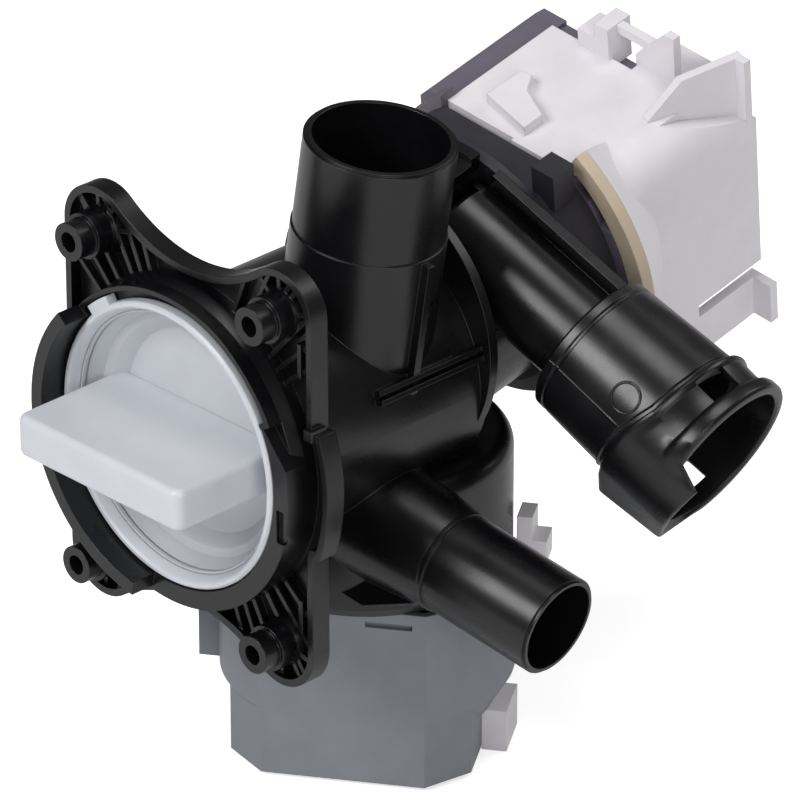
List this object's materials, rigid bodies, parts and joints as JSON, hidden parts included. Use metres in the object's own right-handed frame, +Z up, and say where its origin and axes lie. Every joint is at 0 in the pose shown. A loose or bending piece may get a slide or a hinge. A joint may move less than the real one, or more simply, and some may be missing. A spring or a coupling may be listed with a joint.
{
  "type": "washer drain pump",
  "caption": "Washer sump with a turn-out lint filter, a drain pump under it and a circulation pump behind, each with its own synchronous motor.",
  "frame": {"origin": "centre of the four flange bosses' front faces, on the axis of the filter cap", "axes": "-Y out of the filter's mouth, towards whoever cleans it; +X to the right as seen from there; +Z up"},
  "size_m": [0.1359, 0.1854, 0.1598],
  "materials": {
    "black_plastic": "satin, fine spark texture",
    "filter_plastic": "milky, slightly see-through, satin",
    "grey_plastic": "satin",
    "white_plastic": "satin",
    "tan_plastic": "matt",
    "dark_plastic": "satin",
    "seal_rubber": "matt",
    "sheet_steel": "cut edges of laminations",
    "coil_wire": "enamelled copper wire",
    "magnet_ferrite": "matt",
    "shaft_steel": "ground",
    "bush_ceramic": "polished",
    "blade_tin": "tinned brass"
  },
  "bodies": {
    "pump_body": {"front_flange": "black_plastic", "drain_outlet_spigot": "black_plastic", "sump_body": "black_plastic", "circulation_volute": "black_plastic", "discharge_nozzle": "black_plastic", "drain_pump_head": "dark_plastic", "drain_motor_cover": "grey_plastic", "drain_latch_tongue": "white_plastic", "drain_catch": "white_plastic", "drain_terminal_housing": "white_plastic", "drain_terminals": "blade_tin", "drain_stator_core": "sheet_steel", "drain_coils": "coil_wire", "drain_bushes": "bush_ceramic", "circulation_pump_head": "dark_plastic", "circulation_motor_housing": "grey_plastic", "circulation_former": "tan_plastic", "circulation_cover": "white_plastic", "circulation_stator_core": "sheet_steel", "circulation_coils": "coil_wire", "circulation_bushes": "bush_ceramic"},
    "seal_carrier": {"filter_seal": "seal_rubber"},
    "filter": {"filter_cap": "filter_plastic", "filter_basket": "filter_plastic"},
    "drain_rotor": {"drain_magnet": "magnet_ferrite", "drain_shaft": "shaft_steel", "drain_impeller": "dark_plastic"},
    "circulation_rotor": {"circulation_magnet": "magnet_ferrite", "circulation_shaft": "shaft_steel", "circulation_impeller": "dark_plastic"}
  },
  "joints": [
    {"name": "filter_pull", "type": "slide", "parent": "pump_body", "child": "seal_carrier", "axis": [0, -1, 0], "range_m": [0, 0.075]},
    {"name": "filter_turn", "type": "hinge", "parent": "seal_carrier", "child": "filter", "pos_m": [0, 0, 0], "axis": [0, 1, 0], "range_deg": [0, 90]},
    {"name": "drain_spin", "type": "hinge", "parent": "pump_body", "child": "drain_rotor", "pos_m": [0.0006, 0.062, -0.046], "axis": [0, 0, 1], "continuous": true},
    {"name": "circulation_spin", "type": "hinge", "parent": "pump_body", "child": "circulation_rotor", "pos_m": [0, 0.09592, 0.01156], "axis": [0, 0.9744, 0.225], "continuous": true}
  ]
}
